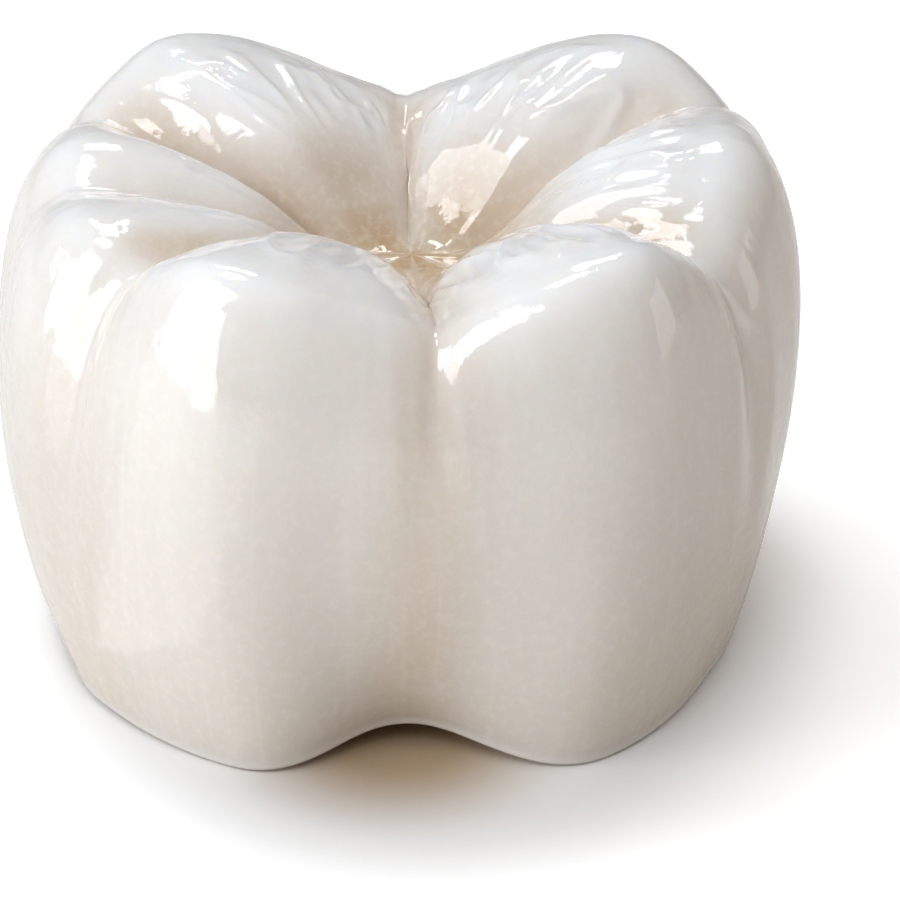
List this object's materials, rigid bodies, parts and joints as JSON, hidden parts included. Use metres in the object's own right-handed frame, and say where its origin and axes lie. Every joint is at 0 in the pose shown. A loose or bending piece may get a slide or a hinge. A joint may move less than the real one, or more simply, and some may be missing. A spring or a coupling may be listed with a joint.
{
  "type": "dental molar cap",
  "caption": "Hollow glazed ceramic cap shaped as a molar tooth, with rounded lobes around a dished chewing surface.",
  "frame": {"origin": "middle of the bounding box at the lowest points of the rim", "axes": "+X along the tooth row, +Y away from the side that faces the camera in the picture, +Z towards the chewing surface"},
  "size_m": [0.011, 0.0096, 0.0074],
  "materials": {
    "glazed_ceramic": "glazed tooth-coloured glass ceramic, off-white and slightly translucent"
  },
  "bodies": {
    "root": {"molar_cap": "glazed_ceramic"}
  },
  "joints": []
}
